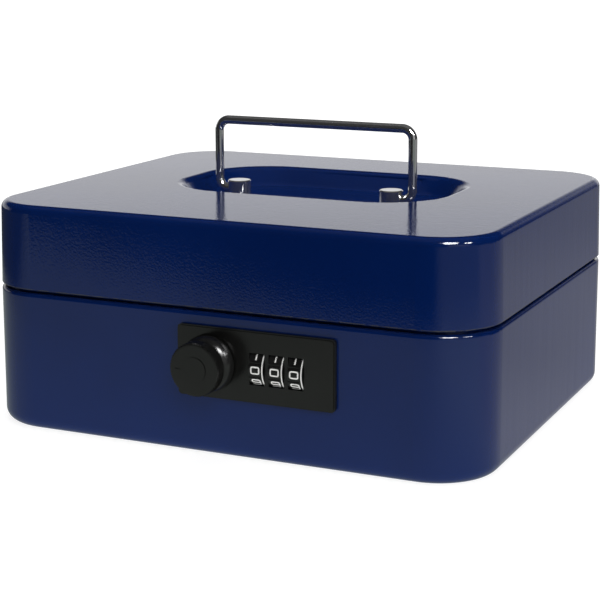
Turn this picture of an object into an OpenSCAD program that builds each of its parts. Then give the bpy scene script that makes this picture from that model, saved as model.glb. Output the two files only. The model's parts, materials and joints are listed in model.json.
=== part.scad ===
// Lockable storage box: a pressed steel base and a hinged lid with a dished top, a folding wire
// handle on two posts, a three-dial combination lock with a turn knob, and a lift-out coin tray.
// Millimetres. The origin is the middle of the underside, +Z is up and the lock faces -Y.

/* [Box] */
// Width of the box, left to right
box_w = 200; // [190:1:230]
// Depth of the box, front to back
box_d = 172.5; // [165:0.5:190]
// Height of the base up to its shoulder
base_h = 52.9; // [52:0.1:64]
// Height of the lid from its rim to its top
lid_h = 31.7; // [31:0.1:42]
// Open joint between the base's shoulder and the lid's rim
parting_gap = 1.2; // [1:0.1:1.8]
// Thickness of the steel sheet
sheet_t = 1; // [0.8:0.1:1.2]
// Radius of the upright corners
corner_r = 23.6; // [21:0.2:24]
// Radius of the edge round the underside
base_edge_r = 4.7; // [4:0.1:8]
// Radius of the rolled shoulder at the top of the base
shoulder_r = 1.4; // [1.3:0.1:1.8]
// Distance that the base's collar stands in from its outer face
collar_inset = 3; // [2.9:0.1:3.4]
// Height of the collar that stands up inside the lid
collar_h = 6; // [4:0.5:7]
// Radius of the edge round the top of the lid
lid_edge_r = 3; // [2.5:0.5:5]
// Draft of the lid's walls, in millimetres for each 100 of wall
lid_draft = 2; // [1:0.5:2.5]

/* [Handle dish] */
// Width of the dish in the lid
dish_w = 116.5; // [112:0.5:124]
// Depth of the dish, front to back
dish_d = 75; // [72:0.5:80]
// Distance of the dish's middle behind the middle of the lid
dish_y = 11.25; // [10:0.25:14]
// How far the dish's floor lies below the lid's top
dish_drop = 7.6; // [7.4:0.1:10]
// Corner radius of the dish
dish_corner_r = 29; // [26:1:31]
// Radius of the dish's rim
dish_rim_r = 4; // [3:0.5:4.5]
// Radius where the dish's wall meets its floor
dish_foot_r = 4; // [3:0.5:4.5]
// Slant of the dish's wall, in millimetres across for each 100 of wall
dish_slant = 60; // [50:5:70]

/* [Handle] */
// Diameter of the handle's wire
wire_d = 3.5; // [3:0.1:4]
// Width of the handle over its legs
handle_w = 87.4; // [80:0.1:90]
// Height of the handle's top above its pivot
handle_h = 29.8; // [28.5:0.1:30.2]
// Distance of the pivot behind the middle of the lid
handle_y = 2; // [1:0.5:5]
// Middle-line radius of the handle's upper bends
handle_bend_r = 4.3; // [4:0.1:6]
// Middle-line radius of the handle's lower bends, just outside the posts
handle_foot_r = 4; // [3.6:0.1:4.4]
// Diameter of a handle post
post_d = 9.3; // [9:0.1:9.6]
// Height of a post above the dish's floor
post_h = 8.3; // [7.8:0.1:8.4]
// Height of the handle's pivot above the dish's floor
pivot_h = 4.5; // [4.3:0.1:4.8]
// Radial play of the wire in its post
wire_play = 0.08; // [0.05:0.01:0.1]

/* [Hinges] */
// Length of each hinge
hinge_l = 40; // [35:1:45]
// Distance from the box's side to the middle of a hinge
hinge_inset = 45; // [43:1:52]
// Outer radius of a hinge knuckle
knuckle_r = 2.25; // [2.2:0.05:2.4]
// Radius of a hinge pin
hinge_pin_r = 1.3; // [1.1:0.05:1.4]
// Height of each hinge leaf from the pin's axis
leaf_h = 17; // [14:1:20]
// Thickness of a hinge leaf
leaf_t = 0.95; // [0.8:0.05:1]

/* [Lock] */
// Width of the lock's front plate
plate_w = 61.4; // [60.5:0.1:64]
// Height of the lock's front plate
plate_h = 26; // [25:0.1:27]
// Thickness of the lock's front plate
plate_t = 2; // [1.8:0.1:2.4]
// Corner radius of the lock's front plate
plate_corner_r = 1.6; // [1:0.1:2]
// Distance from the knob's axis to the plate's left edge
plate_left = 13; // [12.5:0.1:14]
// Height of the knob's axis above the underside
lock_z = 35.3; // [34.8:0.1:35.6]
// Depth of the lock's body behind the wall
lock_depth = 15; // [14.5:0.1:17]

/* [Dials] */
// Radius of a dial
dial_r = 7.7; // [7.4:0.1:7.9]
// Width of a dial
dial_w = 5.3; // [5:0.1:5.5]
// Distance between neighbouring dials
dial_pitch = 7.5; // [7.3:0.1:7.7]
// Distance from the knob's axis to the first dial
dial_x = 18.7; // [18.4:0.1:19]
// Distance of the dials' axis below the knob's
dial_drop = 0.6; // [0.4:0.1:0.9]
// How far a dial stands proud of the plate
dial_proud = 1.5; // [1.3:0.1:1.6]
// Width of a window in the plate
window_w = 5.9; // [5.8:0.1:6.1]
// Height of a window in the plate
window_h = 11.6; // [11.5:0.1:12.2]
// Radius of the dials' axle
axle_r = 1.5; // [1.2:0.1:1.8]

/* [Knob] */
// Radius of the knob over its knurl
knob_r = 9.7; // [9.3:0.1:10]
// Depth of the knurled band
knurl_w = 4.5; // [4:0.1:4.8]
// Number of teeth in the knurl
knurl_teeth = 60; // [48:4:72]
// How far the knob stands proud of the plate
knob_proud = 11.7; // [11.5:0.1:12.5]
// Radius of the knob's neck
neck_r = 6.3; // [6:0.1:6.5]
// Radius of the collar round the knob, where it is widest
bezel_r = 10.3; // [10:0.1:10.4]
// Radius of the collar's rounded foot, which is its height up to where it is widest
bezel_foot = 1.6; // [1.2:0.1:1.8]
// Radius of the collar's dome
bezel_dome_r = 4.4; // [4:0.1:4.6]
// Radius of the spindle
spindle_r = 2.5; // [2.3:0.1:2.7]
// Reach of the cam from the spindle's axis
cam_reach = 17; // [16:0.5:18]
// Width of the cam's arm
cam_w = 6; // [5:0.5:7]

/* [Coin tray] */
// Height of the coin tray
tray_h = 23.8; // [22:0.2:25]
// Wall thickness of the coin tray
tray_wall = 1.6; // [1.4:0.1:2]
// Height of the tray's underside above the underside of the box
tray_z = 30; // [29:0.5:30.5]
// Number of coin cups across the front of the tray
coin_cups = 4; // [3:1:5]
// Draft of the tray's walls, in millimetres for each 100 of wall
tray_draft = 2; // [1:0.5:3]

/* [Hidden] */
$fn = 64;
eps = 0.01;          // how far a cutting shape runs past the face that it cuts
fit_gap = 0.05;      // play between pieces that are fixed together, or that turn in each other
run_gap = 0.3;       // play between pieces that move past each other

paint = "midnightblue";
bare_steel = "silver";
bright = "gainsboro";
plastic = "dimgray";

// Rounds a length to a micrometre, so that a wall and the bend that it runs into meet exactly
function um(x) = round(x*1000)/1000;

// Box
front_y = -box_d/2;
back_y = box_d/2;
rim_z = base_h + parting_gap;
top_z = rim_z + lid_h;
lid_roll_z = top_z - lid_edge_r;
lid_sin = lid_draft/100;
lid_cos = sqrt(1 - lid_sin*lid_sin);
lid_lean = asin(lid_sin);
lid_roll_u = um(corner_r - (lid_edge_r + (lid_roll_z - rim_z)*lid_sin)/lid_cos);
rim_chamfer = 0.3;
collar_face = collar_inset + sheet_t;   // from the box's outer face to the collar's inner face

// Dish
dish_z = top_z - dish_drop;
dish_sin = dish_slant/100;
dish_cos = sqrt(1 - dish_sin*dish_sin);
dish_rim_c = [dish_corner_r, top_z - dish_rim_r];
dish_wall_top = dish_rim_c + dish_rim_r*[-dish_cos, dish_sin];
dish_foot_z = dish_z + dish_foot_r;
dish_wall_foot_z = dish_foot_z - dish_foot_r*dish_sin;
dish_wall_foot = [
    um(dish_wall_top[0] - (dish_wall_top[1] - dish_wall_foot_z)*dish_sin/dish_cos),
    dish_wall_foot_z
];
dish_foot_c = [dish_wall_foot[0] - dish_foot_r*dish_cos, dish_foot_z];

// Where the dish's wall, moved t outwards, stands at height z
function dish_wall_u(z, t) =
    dish_wall_top[0] + (z - dish_wall_top[1])*dish_sin/dish_cos + t/dish_cos;

// Handle
pivot_z = dish_z + pivot_h;
wire_r = wire_d/2;
leg_x = handle_w/2 - wire_r;
post_r = post_d/2;
post_side_gap = 0.2;     // from a post's side to where the handle's lower bend starts
post_span = 2*(leg_x - handle_foot_r - post_r - post_side_gap);
bail_top = handle_h - wire_r;
bail_end_x = post_span/2 - 1;
tail_r = 2.5;
tail_head_r = 3.6;
tail_head_t = 1;
washer_r = 5;
washer_t = 1;

// Hinges
hinge_span = box_w - 2*hinge_inset;
hinge_y = back_y - sheet_t - fit_gap + knuckle_r - leaf_t;
hinge_z = base_h + parting_gap/2;
hinge_notch = knuckle_r + 0.75;
knuckles = 5;
knuckle_l = hinge_l/knuckles;
knuckle_gap = 0.15;
pin_head_t = 0.8;
notch_l = hinge_l + 2*pin_head_t + 2*run_gap;

// Lock
plate_y = front_y - plate_t;            // front face of the plate
wall_y = front_y + sheet_t;             // inner face of the base's front wall
body_y = wall_y + lock_depth;           // rear face of the lock's body
plate_mid_x = plate_w/2 - plate_left;
dial_y = plate_y - dial_proud + dial_r;
dial_z = lock_z - dial_drop;
pocket_r = dial_r + 0.4;
pocket_w = dial_w + 2*run_gap;
lip_t = 0.6;                            // plate left in front of the dials' pockets
boss_r = 2.3;
boss_reach = 4;                         // from the wall's inner face to a boss's end
boss_l = sheet_t + boss_reach;
boss_inset = 3;
screw_r = 1.2;
screw_head_r = 2.3;
screw_head_t = 1.6;
screw_sink = 1.8;
ring_w = 0.5;                           // plain ring at the right-hand end of a dial
spring_t = 0.4;
spring_bump_r = 0.8;
spring_h = 3.2;
spring_z0 = dial_z - spring_h/2;
spring_room = 1.9;                      // from a pocket's round end to the spring's back
spring_back = dial_y + pocket_r + spring_room;

// Knob
knob_front = plate_y - knob_proud;
knob_back = knob_front + knurl_w + 0.5;
knob_chamfer = 0.5;
knurl_depth = 0.35;
neck_end = plate_y - fit_gap;
spindle_front = knob_front + 3;         // end of the knob's bore
bush_l = 2.4;
bush_r = spindle_r + 1.5;
cam_y = body_y + bush_l;
cam_t = 2;
cam_hub_r = 5;
square_w = 3.5;
cam_screw_r = 1.4;
cam_screw_head_r = 3;
cam_screw_head_t = 1.9;
cam_screw_l = 9;

// Catch
catch_w = 9;
catch_x = -cam_reach;
catch_t = 1.5;
catch_ledge_z = lock_z - cam_w/2 - 0.6;
catch_front = cam_y;
catch_back = cam_y + cam_t + 0.9;
catch_shelf_lift = 4.2;                 // from the collar's top to the catch's shelf
catch_shelf_z = base_h + collar_h + catch_shelf_lift;
catch_leg_h = 12;
catch_plate_w = 20;

// Code lever
lever_inset = 5.4;       // from the plate's right-hand edge to the code lever
lever_x = plate_w - plate_left - lever_inset;
lever_z = lock_z;
lever_travel = 4;
lever_stem_w = 2;
lever_stem_h = 3;
lever_foot_w = 4;
lever_foot_h = 4.4;
lever_foot_t = 1.4;
lever_wall = 1.2;

// Coin tray
tray_gap = 2;
tray_w = box_w - 2*collar_face - 2*tray_gap;
tray_back = back_y - collar_face - tray_gap;
tray_clear = 5;          // from the catch to the tray
tray_front = catch_back + catch_t + tray_clear;
tray_d = tray_back - tray_front;
tray_y = (tray_back + tray_front)/2;
tray_corner_r = corner_r - collar_face - tray_gap;
tray_edge_r = 3;
tray_lip = 1.5;
tray_sin = tray_draft/100;
tray_cos = sqrt(1 - tray_sin*tray_sin);
tray_foot_c = [
    um(tray_corner_r - tray_lip - (tray_edge_r + (tray_h - tray_edge_r)*tray_sin)/tray_cos),
    tray_z + tray_edge_r
];
// Outer face of the tray's wall just below its lip
tray_head_u = tray_foot_c[0] + (tray_edge_r + (tray_h - tray_edge_r)*tray_sin)/tray_cos;
tray_split = tray_y - 2;
scoop_r = 12;
grip_r = 11;
grip_l = 12;
rest_w = 12;
rest_h = 8;
rest_t = 1.2;
rest_inset_front = 12;
rest_inset_back = 14;
rest_y0 = tray_front + rest_inset_front;
rest_l = tray_d - rest_inset_front - rest_inset_back;

// Shared shapes

// Sweeps a profile round a rectangle with round corners: x is measured outwards from the
// corners' axes
module round_sweep(w, d, r) {
    for (k = [0:3]) {
        hx = (k % 2 == 0 ? w : d)/2 - r;
        hy = (k % 2 == 0 ? d : w)/2 - r;
        rotate([0, 0, 90*k]) {
            translate([hx, hy, 0]) rotate([90, 0, 0]) linear_extrude(2*hy) children();
            translate([hx, hy, 0]) rotate_extrude(angle = 90) children();
        }
    }
}

module round_rect(w, d, r) {
    square([w, d - 2*r], center = true);
    square([w - 2*r, d], center = true);
    for (x = [-1, 1], y = [-1, 1]) translate([x*(w/2 - r), y*(d/2 - r)]) circle(r);
}

// Quarter or less of a ring between two radii, from angle a to angle b
module ring_sector(r_out, r_in, a, b) {
    reach = 2*r_out;
    intersection() {
        difference() {
            circle(r_out);
            circle(r_in);
        }
        polygon([[0, 0], reach*[cos(a), sin(a)], reach*[cos((a + b)/2), sin((a + b)/2)],
                 reach*[cos(b), sin(b)]]);
    }
}

// Cylinder along Y from y0 to y1
module rod_y(r, y0, y1, r_end = undef) {
    translate([0, y0, 0]) rotate([-90, 0, 0])
        cylinder(h = y1 - y0, r1 = r, r2 = is_undef(r_end) ? r : r_end);
}

// Cylinder along X from x0 to x1
module rod_x(r, x0, x1) {
    translate([x0, 0, 0]) rotate([0, 90, 0]) cylinder(h = x1 - x0, r = r);
}

module at_lock() translate([0, 0, lock_z]) children();

module at_dial(i) translate([dial_x + i*dial_pitch, dial_y, dial_z]) children();

module at_hinge(side) translate([side*hinge_span/2, hinge_y, hinge_z]) children();

module at_posts() for (x = [-1, 1]) translate([x*post_span/2, handle_y, 0]) children();

function screw_spots() = [
    for (x = [boss_inset - plate_left, plate_w - plate_left - boss_inset],
         z = [boss_inset - plate_h/2, plate_h/2 - boss_inset]) [x, z]
];

module at_screws() for (p = screw_spots()) translate([p[0], 0, lock_z + p[1]]) children();

// Base

module base_profile() {
    square([corner_r - base_edge_r, sheet_t]);
    translate([corner_r - base_edge_r, base_edge_r])
        ring_sector(base_edge_r, base_edge_r - sheet_t, -90, 0);
    translate([corner_r - sheet_t, base_edge_r])
        square([sheet_t, base_h - shoulder_r - base_edge_r]);
    translate([corner_r - shoulder_r, base_h - shoulder_r])
        ring_sector(shoulder_r, shoulder_r - sheet_t, 0, 90);
    translate([corner_r - collar_face, base_h - sheet_t])
        square([collar_face - shoulder_r, sheet_t]);
    translate([corner_r - collar_face, base_h - sheet_t]) square([sheet_t, collar_h + sheet_t/2]);
    translate([corner_r - collar_face + sheet_t/2, base_h + collar_h - sheet_t/2])
        circle(sheet_t/2);
}

// Notches in the back wall for the knuckles and the pins' heads
module hinge_cut(z0, z1) {
    y0 = hinge_y - knuckle_r - 0.4;
    for (side = [-1, 1])
        translate([side*hinge_span/2 - notch_l/2, y0, z0])
            cube([notch_l, back_y + 1 - y0, z1 - z0]);
}

module lock_wall_cuts() {
    at_lock() rod_y(bush_r, front_y - 1, wall_y + 1);
    translate([dial_x - pocket_w/2 - 1, front_y - 1, dial_z - pocket_r - 0.5])
        cube([2*dial_pitch + pocket_w + 2, sheet_t + 2, 2*pocket_r + 1]);
    at_screws() rod_y(boss_r + 0.2, front_y - 1, wall_y + 1);
}

module base_shell() {
    floor_w = box_w - 2*corner_r;
    floor_d = box_d - 2*corner_r;
    color(paint) difference() {
        union() {
            round_sweep(box_w, box_d, corner_r) base_profile();
            translate([-floor_w/2, -floor_d/2, 0]) cube([floor_w, floor_d, sheet_t]);
        }
        hinge_cut(hinge_z - hinge_notch, hinge_z + 1);
        lock_wall_cuts();
    }
}

// Lid

module lid_profile() {
    n = [lid_cos, lid_sin];
    up = [-lid_sin, lid_cos];
    head = [lid_roll_u, lid_roll_z] + lid_edge_r*n;
    rim = head - up*(head[1] - rim_z)/lid_cos;
    inside = sheet_t*n;
    bevel = rim_chamfer*n;
    translate([0, top_z - sheet_t]) square([lid_roll_u, sheet_t]);
    translate([lid_roll_u, lid_roll_z])
        ring_sector(lid_edge_r, lid_edge_r - sheet_t, lid_lean, 90);
    polygon([head, head - inside, rim - inside + up*rim_chamfer, rim - inside + bevel,
             rim - bevel, rim + up*rim_chamfer]);
}

// Outline through the dish's floor, foot and wall, moved t outwards; it ends far above the foot
module dish_below(t) {
    top = dish_foot_c[1] + dish_foot_r + 3*sheet_t;
    polygon([[0, top], [0, dish_z - t], [dish_foot_c[0], dish_z - t],
             dish_foot_c + (dish_foot_r + t)*[dish_cos, -dish_sin],
             [dish_wall_u(top, t), top]]);
    translate(dish_foot_c) circle(dish_foot_r + t);
}

// Outline under the dish's wall, rim and the lid's top, moved t inwards; it ends far below the rim
module dish_above(t) {
    low = dish_rim_c[1] - dish_rim_r - sheet_t;
    right = dish_rim_c[0] + dish_rim_r + sheet_t;
    polygon([[dish_wall_u(low, t), low],
             dish_rim_c + (dish_rim_r - t)*[-dish_cos, dish_sin],
             [dish_rim_c[0], top_z - t], [right, top_z - t], [right, low]]);
    translate(dish_rim_c) circle(dish_rim_r - t);
}

module dish_profile() {
    mid = (dish_wall_top[1] + dish_wall_foot[1])/2;
    intersection() {
        difference() {
            dish_below(sheet_t);
            dish_below(0);
        }
        translate([0, dish_z - 2*sheet_t]) square([2*dish_corner_r, mid - dish_z + 2*sheet_t]);
    }
    intersection() {
        difference() {
            dish_above(0);
            dish_above(sheet_t);
        }
        translate([0, mid]) square([dish_corner_r, top_z - mid + sheet_t]);
    }
}

module lid_shell() {
    top_w = box_w - 2*corner_r;
    top_d = box_d - 2*corner_r;
    color(paint) difference() {
        union() {
            round_sweep(box_w, box_d, corner_r) lid_profile();
            translate([0, 0, top_z - sheet_t]) linear_extrude(sheet_t) difference() {
                square([top_w, top_d], center = true);
                translate([0, dish_y]) round_rect(dish_w, dish_d, dish_corner_r);
            }
            translate([0, dish_y, 0]) {
                round_sweep(dish_w, dish_d, dish_corner_r) dish_profile();
                translate([dish_corner_r - dish_w/2, dish_corner_r - dish_d/2, dish_z - sheet_t])
                    cube([dish_w - 2*dish_corner_r, dish_d - 2*dish_corner_r, sheet_t]);
            }
        }
        at_posts() translate([0, 0, dish_z - 2*sheet_t])
            cylinder(h = 3*sheet_t, r = tail_r + fit_gap);
        hinge_cut(hinge_z - 1, hinge_z + hinge_notch);
    }
}

// Bracket welded inside the lid's front wall. Its hooked foot goes down behind the lock,
// and the cam turns over the foot to hold the lid shut
module lid_catch() {
    leg_y = front_y + sheet_t/lid_cos + fit_gap;
    lean = lid_sin/lid_cos;
    z0 = catch_shelf_z - rim_z;
    z1 = z0 + catch_leg_h;
    color(bare_steel) {
        translate([catch_x - catch_plate_w/2 + catch_w/2, 0, rim_z]) rotate([90, 0, 90])
            linear_extrude(catch_plate_w)
                polygon([[leg_y + z0*lean, z0], [leg_y + z1*lean, z1],
                         [leg_y + z1*lean + catch_t, z1], [leg_y + z1*lean + catch_t, z0]]);
        translate([catch_x, leg_y + z0*lean, catch_shelf_z])
            cube([catch_w, catch_back + catch_t - leg_y - z0*lean, catch_t]);
        translate([catch_x, catch_back, catch_ledge_z - catch_t])
            cube([catch_w, catch_t, catch_shelf_z + catch_t - catch_ledge_z + catch_t]);
        translate([catch_x, catch_front, catch_ledge_z - catch_t])
            cube([catch_w, catch_back + catch_t - catch_front, catch_t]);
    }
}

// Hinges

// Leaf with its knuckles, standing up from the pin's axis; own is 0 for the knuckles at both ends
module hinge_leaf(own) {
    color(bare_steel) difference() {
        union() {
            translate([-hinge_l/2, -knuckle_r, 0]) cube([hinge_l, leaf_t, leaf_h]);
            for (k = [own:2:knuckles - 1])
                rod_x(knuckle_r, -hinge_l/2 + k*knuckle_l + knuckle_gap/2,
                      -hinge_l/2 + (k + 1)*knuckle_l - knuckle_gap/2);
        }
        for (k = [1 - own:2:knuckles - 1])
            rod_x(knuckle_r + run_gap, -hinge_l/2 + k*knuckle_l - knuckle_gap/2,
                  -hinge_l/2 + (k + 1)*knuckle_l + knuckle_gap/2);
        rod_x(hinge_pin_r + fit_gap, -hinge_l, hinge_l);
    }
}

module hinge_base_leaf(side) at_hinge(side) mirror([0, 0, 1]) hinge_leaf(0);

module hinge_lid_leaf(side) at_hinge(side) rotate([lid_lean, 0, 0]) hinge_leaf(1);

module hinge_pin(side) {
    color(bright) at_hinge(side) {
        rod_x(hinge_pin_r, -hinge_l/2, hinge_l/2);
        for (m = [0, 1]) mirror([m, 0, 0]) translate([hinge_l/2, 0, 0]) rotate([0, 90, 0])
            cylinder(h = pin_head_t, r1 = knuckle_r - 0.2, r2 = knuckle_r - 0.9);
    }
}

// Handle

// Quarter bend of wire in the XZ plane, from the +X side of its centre round to the +Z side
module wire_bend(r) {
    rotate([90, 0, 0]) rotate_extrude(angle = 90) translate([r, 0]) circle(wire_r);
}

module handle_bail() {
    color(bright) translate([0, handle_y, pivot_z]) {
        rod_at_top = leg_x - handle_bend_r;
        translate([0, 0, bail_top]) rod_x(wire_r, -rod_at_top, rod_at_top);
        for (m = [0, 1]) mirror([m, 0, 0]) {
            translate([rod_at_top, 0, bail_top - handle_bend_r]) wire_bend(handle_bend_r);
            translate([leg_x, 0, handle_foot_r])
                cylinder(h = bail_top - handle_bend_r - handle_foot_r, r = wire_r);
            translate([leg_x - handle_foot_r, 0, handle_foot_r]) mirror([0, 0, 1])
                wire_bend(handle_foot_r);
            rod_x(wire_r, bail_end_x, leg_x - handle_foot_r);
        }
    }
}

// Post with a blind cross hole for the wire, and a tail that is riveted over under the lid
module handle_post(side) {
    chamfer = 0.4;
    tail_l = sheet_t + washer_t;
    color(bright) translate([side*post_span/2, handle_y, 0]) difference() {
        union() {
            translate([0, 0, dish_z]) cylinder(h = post_h - chamfer, r = post_r);
            translate([0, 0, dish_z + post_h - chamfer])
                cylinder(h = chamfer, r1 = post_r, r2 = post_r - chamfer);
            translate([0, 0, dish_z - tail_l]) cylinder(h = tail_l, r = tail_r);
            translate([0, 0, dish_z - tail_l - tail_head_t])
                cylinder(h = tail_head_t, r1 = tail_head_r - 0.6, r2 = tail_head_r);
        }
        translate([0, 0, pivot_z]) mirror([side < 0 ? 1 : 0, 0, 0])
            rod_x(wire_r + wire_play, bail_end_x - post_span/2 - 0.5, post_d);
    }
}

module handle_post_washers() {
    color(bare_steel) at_posts() translate([0, 0, dish_z - sheet_t - washer_t]) difference() {
        cylinder(h = washer_t, r = washer_r);
        translate([0, 0, -eps]) cylinder(h = washer_t + 2*eps, r = tail_r + fit_gap);
    }
}

// Lock

module plate_outline(inset = 0) {
    translate([plate_mid_x, 0])
        round_rect(plate_w - 2*inset, plate_h - 2*inset, plate_corner_r - inset/2);
}

// Pockets for the dials from y0 back to the pocket's round end
module dial_pockets(y0) {
    for (i = [0:2]) at_dial(i) {
        rod_x(pocket_r, -pocket_w/2, pocket_w/2);
        translate([-pocket_w/2, y0 - dial_y, -pocket_r]) cube([pocket_w, dial_y - y0, 2*pocket_r]);
    }
}

module lock_faceplate() {
    bevel = 0.5;
    color(plastic) difference() {
        union() {
            translate([0, front_y, lock_z]) rotate([90, 0, 0])
                linear_extrude(plate_t - bevel) plate_outline();
            translate([0, front_y - plate_t + bevel, lock_z]) rotate([90, 0, 0])
                linear_extrude(bevel) plate_outline(bevel);
            at_screws() rod_y(boss_r, front_y - eps, front_y + boss_l);
        }
        at_lock() rod_y(spindle_r + fit_gap, plate_y - 1, front_y + 1);
        for (i = [0:2]) at_dial(i)
            translate([-window_w/2, plate_y - 1 - dial_y, -window_h/2])
                cube([window_w, plate_t + 2, window_h]);
        dial_pockets(plate_y + lip_t);
        at_screws() rod_y(screw_r + fit_gap, front_y - 0.5, front_y + boss_l + 1);
    }
}

module lock_body() {
    w = plate_w - 1;
    h = plate_h - 1;
    stem_slot = lever_stem_h + lever_travel + run_gap;
    foot_slot = lever_foot_h + lever_travel + run_gap;
    color(plastic) difference() {
        translate([0, wall_y + fit_gap + lock_depth - fit_gap, lock_z]) rotate([90, 0, 0])
            linear_extrude(lock_depth - fit_gap)
                translate([plate_mid_x, 0]) round_rect(w, h, plate_corner_r);
        at_lock() rod_y(spindle_r + fit_gap, wall_y - 1, body_y + 1);
        dial_pockets(wall_y - 1);
        translate([0, dial_y, dial_z]) rod_x(axle_r + fit_gap, dial_x - dial_w, plate_w);
        spring_channel();
        at_screws() {
            rod_y(boss_r + fit_gap, wall_y - 1, front_y + boss_l + fit_gap);
            rod_y(screw_r + fit_gap, wall_y - 1, body_y + 1);
            rod_y(screw_head_r + 0.2, body_y - screw_sink, body_y + 1);
        }
        translate([lever_x - lever_stem_w/2 - run_gap/2, body_y - lever_wall - 1,
                   lever_z - lever_stem_h/2 - run_gap/2])
            cube([lever_stem_w + run_gap, lever_wall + 2, stem_slot]);
        translate([lever_x - lever_foot_w/2 - run_gap/2,
                   body_y - lever_wall - lever_foot_t - run_gap,
                   lever_z - lever_foot_h/2 - run_gap/2])
            cube([lever_foot_w + run_gap, lever_foot_t + run_gap, foot_slot]);
    }
}

module spring_channel() {
    overlap = 1.5;
    translate([dial_x - pocket_w/2, dial_y + pocket_r - overlap, spring_z0 - fit_gap])
        cube([2*dial_pitch + pocket_w, overlap + spring_room + fit_gap, spring_h + 2*fit_gap]);
}

// Leaf spring behind the dials, with one bump for each dial
module detent_spring() {
    bump_y = dial_y + dial_r + run_gap + spring_bump_r;
    bump_w = 2.4;
    color(bare_steel) {
        translate([dial_x - pocket_w/2 + fit_gap, spring_back - spring_t, spring_z0])
            cube([2*dial_pitch + pocket_w - 2*fit_gap, spring_t, spring_h]);
        for (i = [0:2]) translate([dial_x + i*dial_pitch - bump_w/2, 0, spring_z0]) {
            translate([0, bump_y, spring_h/2]) rod_x(spring_bump_r, 0, bump_w);
            translate([0, bump_y, spring_h/2 - spring_t])
                cube([bump_w, spring_back - spring_t - bump_y, 2*spring_t]);
        }
    }
}

module lock_screws() {
    shank_front = front_y + 0.5;
    head_y = body_y - screw_sink;
    slot_w = 0.6;
    slot_depth = 0.6;
    color(bare_steel) at_screws() difference() {
        union() {
            rod_y(screw_r, shank_front, head_y);
            rod_y(screw_head_r, head_y, head_y + screw_head_t);
        }
        translate([-screw_head_r, head_y + screw_head_t - slot_depth, -slot_w/2])
            cube([2*screw_head_r, 2*slot_depth, slot_w]);
        translate([-slot_w/2, head_y + screw_head_t - slot_depth, -screw_head_r])
            cube([slot_w, 2*slot_depth, 2*screw_head_r]);
    }
}

// Dial with ten finger grooves between its number places and a plain ring at its right-hand end
module dial(i) {
    groove_r = 0.6;
    groove_out = 0.25;
    color(plastic) at_dial(i) difference() {
        rod_x(dial_r, -dial_w/2, dial_w/2);
        rod_x(axle_r + fit_gap, -dial_w, dial_w);
        for (k = [0:9]) rotate([36*k + 18, 0, 0]) translate([0, -dial_r - groove_out, 0])
            rod_x(groove_r, -dial_w, dial_w/2 - ring_w - run_gap);
    }
}

module dial_axle() {
    color(bright) translate([0, dial_y, dial_z])
        rod_x(axle_r, dial_x - dial_w + fit_gap, dial_x + 2*dial_pitch + dial_w);
}

module code_lever() {
    tab_w = 4;
    tab_h = 4;
    tab_t = 2.4;
    color("white") translate([lever_x, body_y, lever_z]) {
        translate([-lever_foot_w/2, -lever_wall - lever_foot_t - run_gap/2, -lever_foot_h/2])
            cube([lever_foot_w, lever_foot_t, lever_foot_h]);
        translate([-lever_stem_w/2, -lever_wall - run_gap, -lever_stem_h/2])
            cube([lever_stem_w, lever_wall + 2*run_gap, lever_stem_h]);
        translate([-tab_w/2, run_gap, -tab_h/2]) cube([tab_w, tab_t, tab_h]);
    }
}

// Domed collar round the knob's neck
module knob_collar() {
    bore = neck_r + run_gap;
    color(plastic) translate([0, plate_y, lock_z]) rotate([90, 0, 0]) rotate_extrude() difference() {
        union() {
            square([bezel_r - bezel_foot, bezel_foot]);
            translate([bezel_r - bezel_foot, bezel_foot]) intersection() {
                circle(bezel_foot);
                translate([0, -bezel_foot]) square(bezel_foot);
            }
            translate([bezel_r - bezel_dome_r, bezel_foot]) intersection() {
                circle(bezel_dome_r);
                square(bezel_dome_r);
            }
            translate([0, bezel_foot]) square([bezel_r - bezel_dome_r, bezel_dome_r]);
        }
        translate([-eps, -1]) square([bore + eps, bezel_foot + bezel_dome_r + 2]);
    }
}

function knurl_points() = [
    for (k = [0:2*knurl_teeth - 1])
        (knob_r - (k % 2)*knurl_depth)*[cos(180*k/knurl_teeth), sin(180*k/knurl_teeth)]
];

module knob() {
    root_r = knob_r - knurl_depth - 0.1;
    face_r = root_r - knob_chamfer/2;
    cap_r = 4.5;
    cap_t = 0.3;
    tick_w = 0.5;
    color(plastic) at_lock() difference() {
        union() {
            rod_y(cap_r, knob_front - cap_t, knob_front + eps);
            rod_y(face_r - knob_chamfer, knob_front, knob_front + knob_chamfer, face_r);
            translate([0, knob_front + knob_chamfer + knurl_w - knob_chamfer, 0]) rotate([90, 0, 0])
                linear_extrude(knurl_w - knob_chamfer) polygon(knurl_points());
            rod_y(root_r, knob_front + knurl_w - eps, knob_back, neck_r + 0.8);
            rod_y(neck_r, knob_back - eps, neck_end);
        }
        rod_y(spindle_r + fit_gap, spindle_front, neck_end + 1);
        translate([-knob_r + 2.4, knob_front - 1, -tick_w/2]) cube([1.9, 1.3, tick_w]);
    }
}

module knob_spindle() {
    shoulder = cam_y;
    color(bright) at_lock() difference() {
        union() {
            rod_y(spindle_r, spindle_front + fit_gap, shoulder);
            translate([-square_w/2, shoulder - eps, -square_w/2]) cube([square_w, cam_t, square_w]);
        }
        rod_y(cam_screw_r + fit_gap, cam_y + cam_t - cam_screw_l, cam_y + cam_t + 1);
    }
}

module spindle_bush() {
    color(bright) at_lock() difference() {
        rod_y(bush_r, body_y + fit_gap, body_y + bush_l - fit_gap);
        rod_y(spindle_r + fit_gap, body_y - 1, body_y + bush_l + 1);
    }
}

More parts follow.
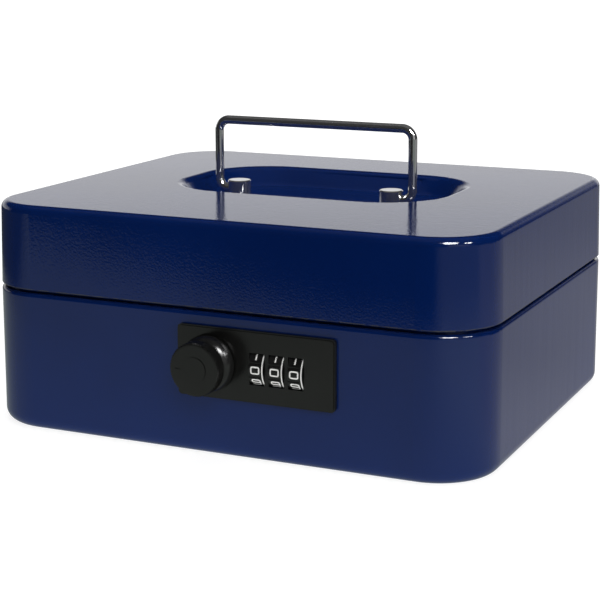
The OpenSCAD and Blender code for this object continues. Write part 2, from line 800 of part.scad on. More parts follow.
// Cam on the spindle's square: its arm points up when the lock is open
module lock_cam() {
    color(bare_steel) translate([0, cam_y + cam_t, lock_z]) rotate([90, 0, 0])
        linear_extrude(cam_t) difference() {
            union() {
                circle(cam_hub_r);
                translate([-cam_w/2, 0]) square([cam_w, cam_reach - cam_w/2]);
                translate([0, cam_reach - cam_w/2]) circle(cam_w/2);
            }
            square(square_w + 2*fit_gap, center = true);
        }
}

module cam_screw() {
    head_y = cam_y + cam_t + fit_gap;
    slot_w = 0.8;
    slot_l = 4;
    color(bright) at_lock() difference() {
        union() {
            rod_y(cam_screw_r, cam_y + cam_t - cam_screw_l + 1, head_y);
            rod_y(cam_screw_head_r, head_y, head_y + cam_screw_head_t - 0.5);
            rod_y(cam_screw_head_r, head_y + cam_screw_head_t - 0.5, head_y + cam_screw_head_t,
                  cam_screw_head_r - 0.5);
        }
        for (a = [0, 90]) rotate([0, a, 0])
            translate([-slot_l/2, head_y + cam_screw_head_t - 0.9, -slot_w/2])
                cube([slot_l, 1, slot_w]);
    }
}

// Coin tray

module tray_profile() {
    n = [tray_cos, -tray_sin];
    r = tray_edge_r;
    head = [tray_head_u, tray_z + tray_h];
    foot = tray_foot_c + r*n;
    translate([0, tray_z]) square([tray_foot_c[0], tray_wall]);
    translate(tray_foot_c) ring_sector(r, r - tray_wall, -90, -asin(tray_sin));
    polygon([foot, head, head - [tray_wall, 0], foot - tray_wall*n]);
    translate([tray_head_u - tray_wall, tray_z + tray_h - tray_wall])
        square([tray_lip + tray_wall, tray_wall]);
}

// Outline that runs inside the tray's floor and two facing walls; half is the floor's straight half
function tray_section(half, top) = [
    for (m = [1, -1], p = m > 0 ? tray_mid_points(half, top) : reversed(tray_mid_points(half, top)))
        [m*p[0], p[1]]
];

function tray_mid_points(half, top) = [
    [half + tray_foot_c[0], tray_z + tray_wall/2],
    [half + tray_foot_c[0] + tray_edge_r - tray_wall/2, tray_z + tray_edge_r],
    [half + tray_mid_u(top), top]
];

// Middle of the tray's wall at height z
function tray_mid_u(z) = tray_head_u - tray_wall/2 - (tray_z + tray_h - z)*tray_sin/tray_cos;

function reversed(list) = [for (k = [len(list) - 1:-1:0]) list[k]];

// Section across the tray, seen from the right: y to the right, z up
module cup_section(top) {
    half = tray_d/2 - tray_corner_r;
    intersection() {
        translate([tray_y, 0]) polygon(tray_section(half, top));
        translate([tray_front, tray_z]) square([tray_split - tray_front, tray_h]);
    }
}

// Curved foot along the front of the coin cups
module scoop_section() {
    floor_z = tray_z + tray_wall;
    wall_in = tray_y - tray_d/2 + tray_corner_r - tray_mid_u(floor_z + scoop_r) + tray_wall/2;
    difference() {
        intersection() {
            cup_section(floor_z + scoop_r - 2);
            translate([tray_front, tray_z]) square([wall_in + scoop_r - tray_front, tray_h]);
        }
        translate([wall_in + scoop_r, floor_z + scoop_r]) circle(scoop_r);
    }
}

module coin_tray() {
    divider_top = tray_z + tray_h - tray_wall - 1.5;
    half_w = tray_w/2 - tray_corner_r;
    half_d = tray_d/2 - tray_corner_r;
    cup_w = (tray_w - 2*tray_lip)/coin_cups;
    color("black") difference() {
        union() {
            translate([0, tray_y, 0]) round_sweep(tray_w, tray_d, tray_corner_r) tray_profile();
            translate([-half_w, tray_y - half_d, tray_z]) cube([2*half_w, 2*half_d, tray_wall]);
            translate([0, tray_split + tray_wall/2, 0]) rotate([90, 0, 0]) linear_extrude(tray_wall)
                polygon(tray_section(half_w, divider_top));
            for (k = [1:coin_cups - 1])
                translate([-tray_w/2 + tray_lip + k*cup_w - tray_wall/2, 0, 0]) rotate([90, 0, 90])
                    linear_extrude(tray_wall) cup_section(divider_top);
            translate([-half_w, 0, 0]) rotate([90, 0, 90]) linear_extrude(2*half_w) scoop_section();
        }
        for (x = [-1, 1]) translate([x*tray_w/2, tray_split, tray_z + tray_h])
            rod_x(grip_r, -grip_l/2, grip_l/2);
    }
}

// Angle welded to the base's side wall, on which the tray sits
module tray_rest(side) {
    x_wall = box_w/2 - sheet_t - fit_gap;
    color(paint) mirror([side < 0 ? 1 : 0, 0, 0]) {
        translate([x_wall - rest_w, rest_y0, tray_z - rest_t]) cube([rest_w, rest_l, rest_t]);
        translate([x_wall - rest_t, rest_y0, tray_z - rest_h]) cube([rest_t, rest_l, rest_h]);
    }
}

base_shell();
lid_shell();
lid_catch();
hinge_base_leaf(-1);  // hinge_base_leaf_left
hinge_base_leaf(1);  // hinge_base_leaf_right
hinge_lid_leaf(-1);  // hinge_lid_leaf_left
hinge_lid_leaf(1);  // hinge_lid_leaf_right
hinge_pin(-1);  // hinge_pin_left
hinge_pin(1);  // hinge_pin_right
handle_bail();
handle_post(-1);  // handle_post_left
handle_post(1);  // handle_post_right
handle_post_washers();
lock_faceplate();
lock_body();
lock_screws();
knob_collar();
knob();
knob_spindle();
spindle_bush();
lock_cam();
cam_screw();
dial(0);  // dial_1
dial(1);  // dial_2
dial(2);  // dial_3
dial_axle();
detent_spring();
code_lever();
coin_tray();
tray_rest(-1);  // tray_rest_left
tray_rest(1);  // tray_rest_right
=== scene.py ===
import json
import math

import bmesh
import bpy
from mathutils import Matrix, Vector


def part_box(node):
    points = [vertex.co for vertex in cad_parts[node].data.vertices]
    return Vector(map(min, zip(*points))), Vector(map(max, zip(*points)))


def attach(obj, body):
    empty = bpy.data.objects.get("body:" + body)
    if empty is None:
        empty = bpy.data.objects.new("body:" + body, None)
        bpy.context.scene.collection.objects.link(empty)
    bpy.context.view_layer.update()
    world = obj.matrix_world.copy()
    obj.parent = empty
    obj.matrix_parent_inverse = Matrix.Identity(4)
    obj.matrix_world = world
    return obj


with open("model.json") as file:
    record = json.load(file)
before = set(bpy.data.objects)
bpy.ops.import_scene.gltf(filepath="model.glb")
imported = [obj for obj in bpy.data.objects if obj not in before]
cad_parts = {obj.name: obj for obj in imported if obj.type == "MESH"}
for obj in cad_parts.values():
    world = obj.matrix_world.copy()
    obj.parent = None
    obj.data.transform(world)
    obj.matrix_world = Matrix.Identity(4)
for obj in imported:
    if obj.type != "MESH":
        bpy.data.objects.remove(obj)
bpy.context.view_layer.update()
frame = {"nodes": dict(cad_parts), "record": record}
nodes = frame["nodes"]
mm = 0.001
mergeWithin = 0.0005          # mm: points closer than this are one point
xAxis, yAxis, zAxis = 0, 1, 2
print("frame loaded:", len(nodes), "nodes")


# the direction that lies turn degrees to the right of straight ahead, and rise degrees up
def wayTo(turn, rise):
    turn, rise = math.radians(turn), math.radians(rise)
    return Vector((math.sin(turn)*math.cos(rise), -math.cos(turn)*math.cos(rise), math.sin(rise)))


# the photograph's view, as fitted to the box's outline; lengths in mm, angles in degrees
camera = {
    "target": (-5.153, 0.0, 63.929),
    "turn": 24.690,           # how far the camera stands to the right of straight ahead
    "rise": 10.672,
    "roll": -0.089,
    "distance": 656.618,
    "focus": 1637.094,        # focal length in pixels of a 600 pixel frame
    "frameSize": 600,
    "axisRow": 240,           # the pixel row that the optical axis meets
    "sensor": 36.0,
    "seesTo": 50,             # m
}


def placeCamera():
    turn, roll = math.radians(camera["turn"]), math.radians(camera["roll"])
    back = wayTo(camera["turn"], camera["rise"])
    right = Vector((math.cos(turn), math.sin(turn), 0))
    up = back.cross(right)
    tiltedRight = right*math.cos(roll) + up*math.sin(roll)
    tiltedUp = up*math.cos(roll) - right*math.sin(roll)
    data = bpy.data.cameras.new("photoCamera")
    data.sensor_width = camera["sensor"]
    data.lens = camera["focus"]*camera["sensor"]/camera["frameSize"]
    data.shift_y = (camera["axisRow"] - camera["frameSize"]/2)/camera["frameSize"]
    data.clip_end = camera["seesTo"]
    eye = bpy.data.objects.new("photoCamera", data)
    place = Matrix((tiltedRight, tiltedUp, back)).transposed().to_4x4()
    place.translation = (Vector(camera["target"]) + back*camera["distance"])*mm
    eye.matrix_world = place
    bpy.context.scene.collection.objects.link(eye)
    bpy.context.scene.camera = eye


placeCamera()
print("camera placed")


class Wire:
    # a shader socket that can stand in a sum

    def __init__(self, tree, socket):
        self.tree = tree
        self.socket = socket

    def maths(self, operation, a, b):
        return addNode(self.tree, "ShaderNodeMath", {"operation": operation}, {0: a, 1: b})

    def __add__(self, other):
        return self.maths("ADD", self, other)

    __radd__ = __add__

    def __sub__(self, other):
        return self.maths("SUBTRACT", self, other)

    def __rsub__(self, other):
        return self.maths("SUBTRACT", other, self)

    def __mul__(self, other):
        return self.maths("MULTIPLY", self, other)

    __rmul__ = __mul__

    def __pow__(self, other):
        return self.maths("POWER", self, other)

    def __abs__(self):
        return self.maths("ABSOLUTE", self, 0)

    def atMost(self, limit):
        return self.maths("MINIMUM", self, limit)

    def ramp(self, low, high, toLow=0.0, toHigh=1.0):
        settings = {"interpolation_type": "SMOOTHSTEP", "clamp": True}
        sockets = {0: self, 1: low, 2: high, 3: toLow, 4: toHigh}
        return addNode(self.tree, "ShaderNodeMapRange", settings, sockets)


# adds any node: its settings come first, then its sockets' values and links
def addNode(tree, kind, settings=None, sockets=None, out=0):
    made = tree.nodes.new(kind)
    for name, value in (settings or {}).items():
        setattr(made, name, value)
    for name, value in (sockets or {}).items():
        if isinstance(value, Wire):
            tree.links.new(value.socket, made.inputs[name])
        else:
            made.inputs[name].default_value = value
    if isinstance(out, tuple):
        return [Wire(tree, made.outputs[name]) for name in out]
    return Wire(tree, made.outputs[out]) if made.outputs else None


# sockets 0, 6 and 7 of a mix of colours are its factor and the two colours, and output 2 is its colour
def mixColour(tree, amount, first, second):
    return addNode(tree, "ShaderNodeMix", {"data_type": "RGBA"}, {0: amount, 6: first, 7: second}, 2)


def mixShader(tree, amount, first, second):
    return addNode(tree, "ShaderNodeMixShader", None, {0: amount, 1: first, 2: second})


def glow(tree, colour, strength):
    return addNode(tree, "ShaderNodeEmission", None, {"Color": colour, "Strength": strength})


def objectPlace(tree):
    return addNode(tree, "ShaderNodeTexCoord", out="Object")


def splitPlace(tree, place):
    return addNode(tree, "ShaderNodeSeparateXYZ", None, {"Vector": place}, ("X", "Y", "Z"))


def stretch(tree, place, scale):
    return addNode(tree, "ShaderNodeMapping", None, {"Vector": place, "Scale": scale})


def rayKinds(tree, *kinds):
    return addNode(tree, "ShaderNodeLightPath", out=tuple("Is " + kind + " Ray" for kind in kinds))


# a place that was stretched has its scale already
def noise(tree, place, perMetre=1, detail=2):
    return addNode(tree, "ShaderNodeTexNoise", None, {"Vector": place, "Scale": perMetre, "Detail": detail})


def bump(tree, height, strength, distance, under=None):
    sockets = {"Height": height, "Strength": strength, "Distance": distance}
    if under:
        sockets["Normal"] = under
    return addNode(tree, "ShaderNodeBump", None, sockets)


def emptyTree(owner):
    owner.use_nodes = True
    owner.node_tree.nodes.clear()
    return owner.node_tree


# a material whose fixed numbers sit on the shader, and whose changing ones are linked
def newMaterial(name, fixed, linked):
    material = bpy.data.materials.new(name)
    tree = emptyTree(material)
    surface = addNode(tree, "ShaderNodeBsdfPrincipled", None, {**fixed, **linked(tree)})
    addNode(tree, "ShaderNodeOutputMaterial", None, {"Surface": surface})
    return material


def rgba(r, g, b):
    return (r, g, b, 1.0)


white = rgba(1, 1, 1)

paint = {
    "colour": rgba(0.0012, 0.0112, 0.0760),
    "deepColour": rgba(0.0009, 0.0095, 0.0660),
    "cloudPerMetre": 14,            # how slowly the one colour turns into the other
    "cloudEdges": (0.35, 0.65),
    "peelPerMetre": 1300,           # the sprayed surface's orange peel
    "peelDetail": 1.5,
    "peelStrength": 0.10,
    "peelDepth": 0.0004,
    "runScale": (170, 170, 16),     # per metre: runs in the paint are drawn out upwards
    "runStrength": 0.05,
    "runDepth": 0.001,
    "runTop": (5.8, 1.3),           # mm under the lid's top: from there up it has fewer of them
    "runTopShare": 0.2,
    "gloss": 0.055,                 # lowest roughness, and how far it wanders
    "glossSpan": 0.03,
    "glossPerMetre": 40,
    "dustPerMetre": 2600,
    "dustEdges": (0.66, 0.74),
    "dustRough": 0.04,
    "lidHem": (0.31, 1.0),          # mm above the lid's lower edge, and how strong the lighter line is there: worn paint and a painted highlight
    "baseHem": (-1.29, 0.12),       # the base's shoulder lies just under that edge
    "wornHighlightHalf": 0.15,               # mm: half of the lighter line's width
    "wornHighlightPerMetre": 300,
    "wornHighlightEdges": (0.25, 0.55),
    "wornHighlightColour": rgba(0.030, 0.033, 0.046),
    "ior": 1.5,
}


# hem is where a lighter line is painted along the sheet's edge: partly worn paint, partly a painted
# highlight of the edge
def bluePaint(name, hem):
    hemRise, hemShare = hem
    lidEdge, lidTop = (corner[zAxis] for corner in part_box("lid_shell"))

    def linked(tree):
        place = objectPlace(tree)
        height = splitPlace(tree, place)[zAxis]
        cloud = noise(tree, place, paint["cloudPerMetre"], detail=3).ramp(*paint["cloudEdges"])
        peel = noise(tree, place, paint["peelPerMetre"], paint["peelDetail"])
        upright = height.ramp(*(lidTop - h*mm for h in paint["runTop"]), 1.0, paint["runTopShare"])
        runs = noise(tree, stretch(tree, place, paint["runScale"]))*upright
        runs = bump(tree, runs, paint["runStrength"], paint["runDepth"])
        dust = noise(tree, place, paint["dustPerMetre"]).ramp(*paint["dustEdges"])
        gloss = noise(tree, place, paint["glossPerMetre"])*paint["glossSpan"]
        # a lighter line along the hem: partly worn paint, partly a painted highlight of the edge
        half = paint["wornHighlightHalf"]*mm
        wornHighlight = abs(height - (lidEdge + hemRise*mm)).ramp(half, half*2, hemShare, 0.0)
        wornHighlight = wornHighlight*noise(tree, place, paint["wornHighlightPerMetre"]).ramp(*paint["wornHighlightEdges"])
        plain = mixColour(tree, cloud, paint["colour"], paint["deepColour"])
        return {
            "Base Color": mixColour(tree, wornHighlight, plain, paint["wornHighlightColour"]),
            "Roughness": gloss + dust*paint["dustRough"] + paint["gloss"],
            "Normal": bump(tree, peel, paint["peelStrength"], paint["peelDepth"], runs),
        }

    return newMaterial(name, {"IOR": paint["ior"]}, linked)


zinc = {
    "metallic": 0.7,
    "colours": (rgba(0.46, 0.47, 0.48), rgba(0.66, 0.67, 0.68)),
    "grainScale": (60, 900, 900),   # per metre: the sheet's rolling grain
    "spanglePerMetre": 260,
    "grainShare": 0.3,
    "spangleShare": 0.25,
    "roughness": 0.26,
    "roughSpan": 0.16,
    "grainStrength": 0.12,
    "grainDepth": 0.0002,
}


def zincSteel():
    def linked(tree):
        place = objectPlace(tree)
        grain = noise(tree, stretch(tree, place, zinc["grainScale"]), detail=3)
        cells = {"Vector": place, "Scale": zinc["spanglePerMetre"]}
        spangle = addNode(tree, "ShaderNodeTexVoronoi", None, cells, "Color")
        spangle = addNode(tree, "ShaderNodeRGBToBW", None, {"Color": spangle})
        tone = spangle*zinc["spangleShare"] + grain*zinc["grainShare"]
        return {
            "Base Color": mixColour(tree, tone, *zinc["colours"]),
            "Roughness": grain*zinc["roughSpan"] + zinc["roughness"],
            "Normal": bump(tree, grain, zinc["grainStrength"], zinc["grainDepth"]),
        }

    return newMaterial("zincSteel", {"Metallic": zinc["metallic"]}, linked)


chrome = {
    "metallic": 0.95,
    "colours": (rgba(0.60, 0.60, 0.61), rgba(0.70, 0.70, 0.71)),
    "hazePerMetre": 220,
    "roughness": 0.05,
    "roughSpan": 0.05,
    "pitsPerMetre": 1500,
    "pitStrength": 0.02,
    "pitDepth": 0.0002,
}


def chromePlate():
    def linked(tree):
        place = objectPlace(tree)
        haze = noise(tree, place, chrome["hazePerMetre"])
        pits = noise(tree, place, chrome["pitsPerMetre"])
        return {
            "Base Color": mixColour(tree, haze, *chrome["colours"]),
            "Roughness": haze*chrome["roughSpan"] + chrome["roughness"],
            "Normal": bump(tree, pits, chrome["pitStrength"], chrome["pitDepth"]),
        }

    return newMaterial("chromePlate", {"Metallic": chrome["metallic"]}, linked)


# what all the plastics share, and then each one's own look
plastic = {
    "ior": 1.49,
    "cloudPerMetre": 70,
    "cloudEdges": (0.3, 0.7),
    "roughSpan": 0.08,
    "grainDepth": 0.0002,
}
plastics = {
    "black_plastic": {
        "name": "blackPlastic",
        "colours": (rgba(0.0040, 0.0040, 0.0038), rgba(0.0055, 0.0055, 0.0052)),
        "roughness": 0.23,
        "grainPerMetre": 3000,
        "grainStrength": 0.10,
    },
    "gloss_black": {
        "name": "glossBlack",
        "colours": (rgba(0.006, 0.006, 0.006), rgba(0.008, 0.008, 0.008)),
        "roughness": 0.2,
        "grainPerMetre": 1200,
        "grainStrength": 0.03,
    },
    "dial_black": {
        "name": "dialBlack",
        "colours": (rgba(0.004, 0.004, 0.004), rgba(0.006, 0.006, 0.006)),
        "roughness": 0.3,
        "grainPerMetre": 1800,
        "grainStrength": 0.05,
    },
    "white_plastic": {
        "name": "whitePlastic",
        "colours": (rgba(0.7, 0.7, 0.68), rgba(0.64, 0.64, 0.62)),
        "roughness": 0.4,
        "grainPerMetre": 1500,
        "grainStrength": 0.05,
    },
    "tray_plastic": {
        "name": "trayPlastic",
        "colours": (rgba(0.016, 0.016, 0.017), rgba(0.021, 0.021, 0.022)),
        "roughness": 0.5,
        "grainPerMetre": 2200,
        "grainStrength": 0.25,
    },
}


def mouldedPlastic(look):
    def linked(tree):
        place = objectPlace(tree)
        grain = noise(tree, place, look["grainPerMetre"], detail=3)
        cloud = noise(tree, place, plastic["cloudPerMetre"]).ramp(*plastic["cloudEdges"])
        return {
            "Base Color": mixColour(tree, cloud, *look["colours"]),
            "Roughness": cloud*plastic["roughSpan"] + (look["roughness"] - plastic["roughSpan"]/2),
            "Normal": bump(tree, grain, look["grainStrength"], plastic["grainDepth"]),
        }

    return newMaterial(look["name"], {"IOR": plastic["ior"]}, linked)


materials = {
    "blue_paint": bluePaint("bluePaint", paint["baseHem"]),
    "zinc_steel": zincSteel(),
    "handle_chrome": chromePlate(),
}
for slot, look in plastics.items():
    materials[slot] = mouldedPlastic(look)
slotOf = {p["node"]: p["material_slot"] for p in frame["record"]["subparts"]}
for name, thing in nodes.items():
    thing.data.materials.clear()
    thing.data.materials.append(materials[slotOf[name]])
nodes["lid_shell"].data.materials[0] = bluePaint("lidPaint", paint["lidHem"])
print("nodes dressed in", len(materials), "materials")


def middleOf(node):
    low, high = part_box(node)
    return (Vector(low) + Vector(high))/2


# half of a round node's width along one axis, in mm
def radiusOf(node, axis):
    low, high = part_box(node)
    return (high[axis] - low[axis])/2/mm


def finishMesh(bm, name):
    mesh = bpy.data.meshes.new(name)
    bm.to_mesh(mesh)
    bm.free()
    return mesh


# links a finished mesh, smooth, with its material and the body that carries it
def putPiece(name, mesh, slot, body, smoothAngle):
    mesh.name = name
    mesh.materials.clear()
    mesh.materials.append(materials[slot])
    mesh.shade_smooth()
    bm = bmesh.new()
    bm.from_mesh(mesh)
    limit = math.radians(smoothAngle)
    for edge in bm.edges:
        edge.smooth = len(edge.link_faces) == 2 and edge.calc_face_angle(0) < limit
    bm.to_mesh(mesh)
    bm.free()
    piece = bpy.data.objects.new(name, mesh)
    bpy.context.scene.collection.objects.link(piece)
    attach(piece, body)


# the numbers on each dial, and the white ring that is a painted highlight of its end's edge, in mm
dials = {
    "bodies": {"dial_1": "dial_one", "dial_2": "dial_two", "dial_3": "dial_three"},
    "places": 10,
    "digitWide": 3.05,        # between the middles of the outer strokes
    "digitHigh": 2.35,
    "digitShift": -0.10,      # the numbers sit left of a dial's middle
    "cornerRound": 0.6,
    "cornerLegs": 2.2,        # a corner takes at most a leg's length divided by this
    "cornerSteps": 4,
    "strokeWide": 0.54,
    "strokeRise": 0.035,
    "stepAlong": 0.35,
    "glintRingSteps": 96,
    "glintRingProfile": [(2.42, -0.10), (2.42, 0.03), (2.71, 0.03), (2.77, -0.03), (2.77, -0.25), (2.68, -0.25)],
    "smoothAngle": 40,
}
# each number's strokes, 1 being half of its width or height; a ring runs back to its start
strokes = {
    0: [("ring", [(-1, -1), (1, -1), (1, 1), (-1, 1)])],
    1: [("line", [(0, -1), (0, 1)])],
    2: [("line", [(-1, 1), (1, 1), (1, 0), (-1, 0), (-1, -1), (1, -1)])],
    3: [("line", [(-1, 1), (1, 1), (1, -1), (-1, -1)]), ("line", [(-0.4, 0), (1, 0)])],
    4: [("line", [(-1, 1), (-1, 0), (1, 0)]), ("line", [(1, 1), (1, -1)])],
    5: [("line", [(1, 1), (-1, 1), (-1, 0), (1, 0), (1, -1), (-1, -1)])],
    6: [("line", [(1, 1), (-1, 1), (-1, -1), (1, -1), (1, 0), (-1, 0)])],
    7: [("line", [(-1, 1), (1, 1), (1, -1)])],
    8: [("ring", [(-1, -1), (1, -1), (1, 1), (-1, 1)]), ("line", [(-1, 0), (1, 0)])],
    9: [("line", [(1, 0), (-1, 0), (-1, 1), (1, 1), (1, -1), (-1, -1)])],
}


# a path with its corners rounded off, as points a short step apart
def softPath(points, closed):
    count = len(points)
    bent = []
    for k, corner in enumerate(points):
        if not closed and k in (0, count - 1):
            bent.append(corner)
            continue
        before = points[k - 1] - corner
        after = points[(k + 1) % count] - corner
        shorter = min(before.length, after.length)
        cut = min(dials["cornerRound"], shorter/dials["cornerLegs"])
        start, end = corner + before.normalized()*cut, corner + after.normalized()*cut
        for step in range(dials["cornerSteps"] + 1):
            t = step/dials["cornerSteps"]
            bent.append(start*(1 - t)**2 + corner*(2*t*(1 - t)) + end*t**2)
    if closed:
        bent.append(bent[0])
    path = []
    for here, there in zip(bent, bent[1:]):
        parts = max(1, math.ceil((there - here).length/dials["stepAlong"]))
        path += [here.lerp(there, n/parts) for n in range(parts)]
    return path if closed else path + [bent[-1]]


def meshFromCurve(name, paths, thickness):
    curve = bpy.data.curves.new(name, "CURVE")
    curve.dimensions = "3D"
    curve.bevel_depth = thickness/2
    curve.bevel_resolution = 1
    curve.use_fill_caps = True
    for path, closed in paths:
        spline = curve.splines.new("POLY")
        spline.points.add(len(path) - 1)
        for point, place in zip(spline.points, path):
            point.co = (*place, 1)
        spline.use_cyclic_u = closed
    drawn = bpy.data.objects.new(name, curve)
    mesh = bpy.data.meshes.new_from_object(drawn)
    bpy.data.objects.remove(drawn)
    bpy.data.curves.remove(curve)
    bm = bmesh.new()
    bm.from_mesh(mesh)
    bmesh.ops.remove_doubles(bm, verts=bm.verts, dist=mergeWithin)
    bmesh.ops.recalc_face_normals(bm, faces=bm.faces)
    bm.to_mesh(mesh)
    bm.free()
    return mesh


# the numbers are drawn on a flat strip, then rolled round the dial: x stays, y becomes the angle
def dialNumbers(node, body):
    middle = middleOf(node)
    radius = radiusOf(node, zAxis)
    paths = []
    for place in range(dials["places"]):
        along = math.radians(360/dials["places"]*place)*radius
        if place > dials["places"]/2:
            along -= 2*math.pi*radius
        for kind, points in strokes[place]:
            spots = []
            for u, v in points:
                across = dials["digitShift"] + u*dials["digitWide"]/2
                spots.append(Vector((across, along + v*dials["digitHigh"]/2, 0)))
            closed = kind == "ring"
            paths.append((softPath(spots, closed), closed))
    name = node + "_numbers"
    mesh = meshFromCurve(name, paths, dials["strokeWide"])
    flatten = 2*dials["strokeRise"]/dials["strokeWide"]
    for vertex in mesh.vertices:
        u, v, h = vertex.co
        out = radius + h*flatten
        vertex.co = middle + Vector((u, -out*math.cos(v/radius), out*math.sin(v/radius)))*mm
    putPiece(name, mesh, "white_plastic", body, dials["smoothAngle"])


# the white ring round a dial's right-hand end: a painted highlight, standing in for the glint on that end's
# edge
def dialGlintRing(node, body):
    radius = radiusOf(node, zAxis)
    name = node + "_ring"
    bm = bmesh.new()
    section = [bm.verts.new((x, 0, radius + r)) for x, r in dials["glintRingProfile"]]
    edges = [bm.edges.new((a, b)) for a, b in zip(section, section[1:] + section[:1])]
    bmesh.ops.spin(bm, geom=section + edges, cent=(0, 0, 0), axis=(1, 0, 0), angle=2*math.pi,
                   steps=dials["glintRingSteps"], use_merge=True)
    bmesh.ops.remove_doubles(bm, verts=bm.verts, dist=mergeWithin)
    bmesh.ops.recalc_face_normals(bm, faces=bm.faces)
    bmesh.ops.scale(bm, vec=(mm, mm, mm), verts=bm.verts)
    bmesh.ops.translate(bm, vec=middleOf(node), verts=bm.verts)
    putPiece(name, finishMesh(bm, name), "white_plastic", body, dials["smoothAngle"])


# the knob's front edge: the knurl's teeth run out over its chamfer; lengths in mm
knobEdge = {
    "teeth": 60,
    "toothDepth": 0.5,
    "wide": 1.25,             # from the teeth's tips inwards
    "deep": 0.52,
    "proud": 0.02,
    "bevel": 0.16,
    "faceStep": 0.3,          # the cap stands this far off the knob's face
    "slack": 0.01,            # for picking out the edges to bevel
    "smoothAngle": 25,
}


def knobTeeth():
    middle = middleOf("knob")
    radius = radiusOf("knob", xAxis)
    inner = radius - knobEdge["wide"]
    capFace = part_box("knob")[0][yAxis]/mm
    face = capFace + knobEdge["faceStep"] - knobEdge["proud"]
    count = 2*knobEdge["teeth"]
    bm = bmesh.new()
    outer = bmesh.ops.create_circle(bm, segments=count, radius=radius)["verts"]
    bmesh.ops.create_circle(bm, segments=count, radius=inner)
    for vertex in outer[::2]:
        vertex.co *= (radius - knobEdge["toothDepth"])/radius
    bmesh.ops.bridge_loops(bm, edges=bm.edges[:])
    pushed = bmesh.ops.extrude_face_region(bm, geom=bm.faces[:])["geom"]
    back = [v for v in pushed if isinstance(v, bmesh.types.BMVert)]
    bmesh.ops.translate(bm, vec=(0, 0, -knobEdge["deep"]), verts=back)
    slack = knobEdge["slack"]
    rim = [e for e in bm.edges if all(v.co.z > -slack and v.co.length > inner + slack for v in e.verts)]
    bmesh.ops.bevel(bm, geom=rim, offset=knobEdge["bevel"], affect="EDGES", segments=2,
                    profile=0.5, material=-1)
    bmesh.ops.recalc_face_normals(bm, faces=bm.faces)
    bmesh.ops.transform(bm, matrix=Matrix.Rotation(math.radians(90), 4, "X"), verts=bm.verts)
    bmesh.ops.translate(bm, vec=(middle.x/mm, face, middle.z/mm), verts=bm.verts)
    bmesh.ops.scale(bm, vec=(mm, mm, mm), verts=bm.verts)
    name = "knob_edge_teeth"
    putPiece(name, finishMesh(bm, name), "black_plastic", "knob_and_cam", knobEdge["smoothAngle"])


knobTeeth()
for node, body in dials["bodies"].items():
    dialNumbers(node, body)
    dialGlintRing(node, body)
print("knob toothed, dials numbered")

# what gloss sees all round: a white sweep behind, a dim glow above, and a low panel at the front
# right; the pairs are parts of a direction's length along x, y or z, over which a light starts or ends
sky = {
    "softLight": 0.22,        # what reaches plain surfaces
    "backGlow": 0.93,
    "backTurn": (-0.25, 0.15),
    "backRight": (0.02, 0.34),
    "backStep": (0.125, 0.165),   # the sweep dims a little here
    "backDim": 0.20,
    "backTop": (0.20, 0.36),
    "ceiling": 0.015,
    "overhead": 0.09,
    "overheadFrom": (0.74, 0.86),
    "panel": 0.50,
    "panelFrom": (0.50, 0.64),
    "panelTurn": (-0.36, -0.22),
    "panelTop": (0.24, 0.36),
}


def litWorld():
    world = bpy.data.worlds.new("room")
    bpy.context.scene.world = world
    tree = emptyTree(world)
    x, y, z = splitPlace(tree, addNode(tree, "ShaderNodeTexCoord", out="Generated"))
    behind = y.ramp(*sky["backTurn"], 0.0, sky["backGlow"])*x.ramp(*sky["backRight"], 1.0, 0.0)
    low = z.ramp(*sky["backStep"], 1.0, 1 - sky["backDim"])*z.ramp(*sky["backTop"], 1.0, 0.0)
    above = z.ramp(*sky["overheadFrom"], sky["ceiling"], sky["overhead"])
    beside = x.ramp(*sky["panelFrom"])*y.ramp(*sky["panelTurn"], 1.0, 0.0)
    panel = beside*z.ramp(*sky["panelTop"], sky["panel"], 0.0)
    glossy = behind*low + above + panel
    isCamera, isGlossy, isThrough = rayKinds(tree, "Camera", "Glossy", "Transmission")
    plain = (1 - isCamera - isGlossy - isThrough)*sky["softLight"]
    strength = isCamera + isThrough + isGlossy*glossy + plain
    shine = addNode(tree, "ShaderNodeBackground", None, {"Color": white, "Strength": strength})
    addNode(tree, "ShaderNodeOutputWorld", None, {"Surface": shine})


# the pale floor; lengths in m, and pairs of them are where something starts and ends
floor = {
    "size": 12.0,
    "white": 1.22,                # as the camera sees it
    "shadowShare": 0.30,          # the part of it that takes the box's shadow, and how far out
    "shadowReach": (0.20, 0.70),
    "shadowColour": rgba(0.9, 0.9, 0.9),
    "bounce": (1.45, 0.35),       # what it throws up at plain surfaces, near the box and far off
    "bounceX": (0.10, 0.30),
    "bounceY": (0.09, 0.30),
    # and what gloss sees in it
    "frontGlow": 0.33,
    "frontTint": rgba(1.0, 1.10, 1.02),
    "frontEdge": (-0.37, -0.285),  # where the bright floor in front ends
    "frontLeft": -0.06,           # left of this its edge runs further out, by the slope
    "frontSlope": 0.6,
    "leftDim": 0.85,              # it is darker far off on the left
    "leftSlope": 0.6,
    "leftFrom": (0.08, 0.28),
    "leftAway": (0.30, 0.42),
    "cornerGlow": (0.50, 0.20),   # at the front right, near and far
    "cornerAway": (0.28, 0.50),
    "cornerSlope": 0.25,
    "cornerFrom": (0.02, 0.18),
    "sideGlow": (0.45, 0.37),     # at the right, at the front and further back
    "sideTurn": (-0.02, 0.12),
    "sideFront": (-0.085, -0.03),
    "sideRight": (0.0, 0.08),
    "farGlow": 0.75,              # share of it that is left far off
    "farAway": (0.25, 0.55),
}


def mixNumbers(first, second, amount):
    return first*(1 - amount) + second*amount


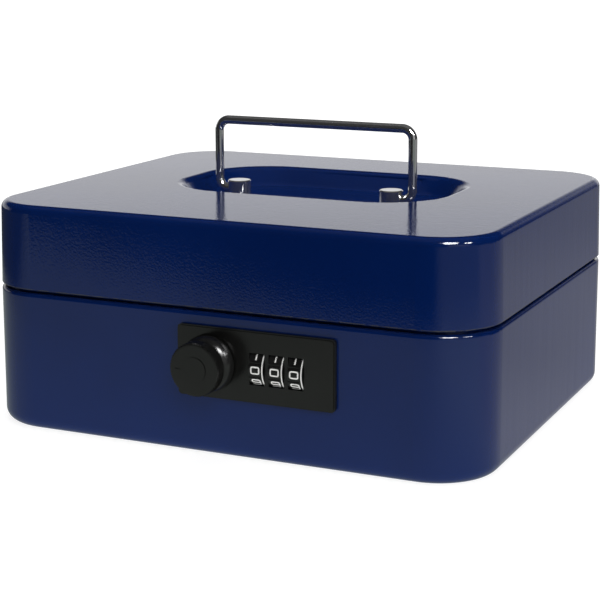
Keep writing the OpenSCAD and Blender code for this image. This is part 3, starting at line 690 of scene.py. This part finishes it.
# how bright the floor is in a mirror that stands at the box: in front, at the right, behind
def floorGlow(tree, x, y, away):
    outwards = (x - floor["frontLeft"]).atMost(0)
    leftward = (y*floor["leftSlope"] - x).ramp(*floor["leftFrom"])*away.ramp(*floor["leftAway"])
    front = (y - outwards*floor["frontSlope"]).ramp(*floor["frontEdge"], 0.0, floor["frontGlow"])
    front = front*(1 - leftward*floor["leftDim"])
    corner = away.ramp(*floor["cornerAway"], *floor["cornerGlow"])
    side = y.ramp(*floor["sideTurn"], *floor["sideGlow"])*away.ramp(*floor["farAway"], 1.0, floor["farGlow"])
    ahead = mixNumbers(front, corner, (x + y*floor["cornerSlope"]).ramp(*floor["cornerFrom"]))
    sideways = y.ramp(*floor["sideFront"])*x.ramp(*floor["sideRight"])
    tint = mixColour(tree, sideways, floor["frontTint"], white)
    return glow(tree, tint, mixNumbers(ahead, side, sideways))


# white, but for the box's shadow near it
def floorSeen(tree, away):
    near = away.ramp(*floor["shadowReach"], floor["shadowShare"], 0.0)
    shaded = addNode(tree, "ShaderNodeBsdfDiffuse", None, {"Color": floor["shadowColour"]})
    return mixShader(tree, near, glow(tree, white, floor["white"]), shaded)


def floorBounce(tree, x, y):
    outside = abs(x).ramp(*floor["bounceX"]) + abs(y).ramp(*floor["bounceY"])
    return glow(tree, white, outside.ramp(0, 1, *floor["bounce"]))


def paleFloor():
    material = bpy.data.materials.new("paleFloor")
    tree = emptyTree(material)
    x, y = splitPlace(tree, objectPlace(tree))[:2]
    away = (x*x + y*y)**0.5
    isCamera, isGlossy = rayKinds(tree, "Camera", "Glossy")
    plain = mixShader(tree, isCamera, floorBounce(tree, x, y), floorSeen(tree, away))
    whole = mixShader(tree, isGlossy, plain, floorGlow(tree, x, y, away))
    addNode(tree, "ShaderNodeOutputMaterial", None, {"Surface": whole})
    bm = bmesh.new()
    bmesh.ops.create_grid(bm, x_segments=1, y_segments=1, size=floor["size"]/2)
    mesh = finishMesh(bm, "floor")
    mesh.materials.append(material)
    ground = bpy.data.objects.new("floor", mesh)
    bpy.context.scene.collection.objects.link(ground)


# lamps by their turn to the right of straight ahead and their rise (degrees), their distance and
# size (m) and power (W); soft ones light plain surfaces, and sparks show only in gloss
lamps = {
    "topBox": {"turn": 200, "rise": 80, "away": 1.3, "size": 1.0, "power": 11.0, "spark": False},
    "keyBox": {"turn": 35, "rise": 35, "away": 1.5, "size": 0.9, "power": 9.0, "spark": False},
    "sideBox": {"turn": 75, "rise": 18, "away": 1.4, "size": 0.7, "power": 6.3, "spark": False},
    "keySpark": {"turn": 42, "rise": 38, "away": 1.3, "size": 0.5, "power": 20.0, "spark": True},
    "sideSpark": {"turn": 74, "rise": 30, "away": 1.3, "size": 0.24, "power": 4.6, "spark": True},
}
lampAim = Vector((0, 0, 0.06))


def hangLamps():
    for name, lamp in lamps.items():
        data = bpy.data.lights.new(name, "AREA")
        data.shape = "DISK"
        data.size = lamp["size"]
        data.energy = lamp["power"]
        thing = bpy.data.objects.new(name, data)
        way = wayTo(lamp["turn"], lamp["rise"])
        thing.location = lampAim + way*lamp["away"]
        thing.rotation_euler = (-way).to_track_quat("-Z", "Y").to_euler()
        thing.visible_glossy = lamp["spark"]
        thing.visible_diffuse = not lamp["spark"]
        bpy.context.scene.collection.objects.link(thing)


litWorld()
paleFloor()
hangLamps()
bpy.context.scene.view_settings.view_transform = "Standard"
print("room lit")
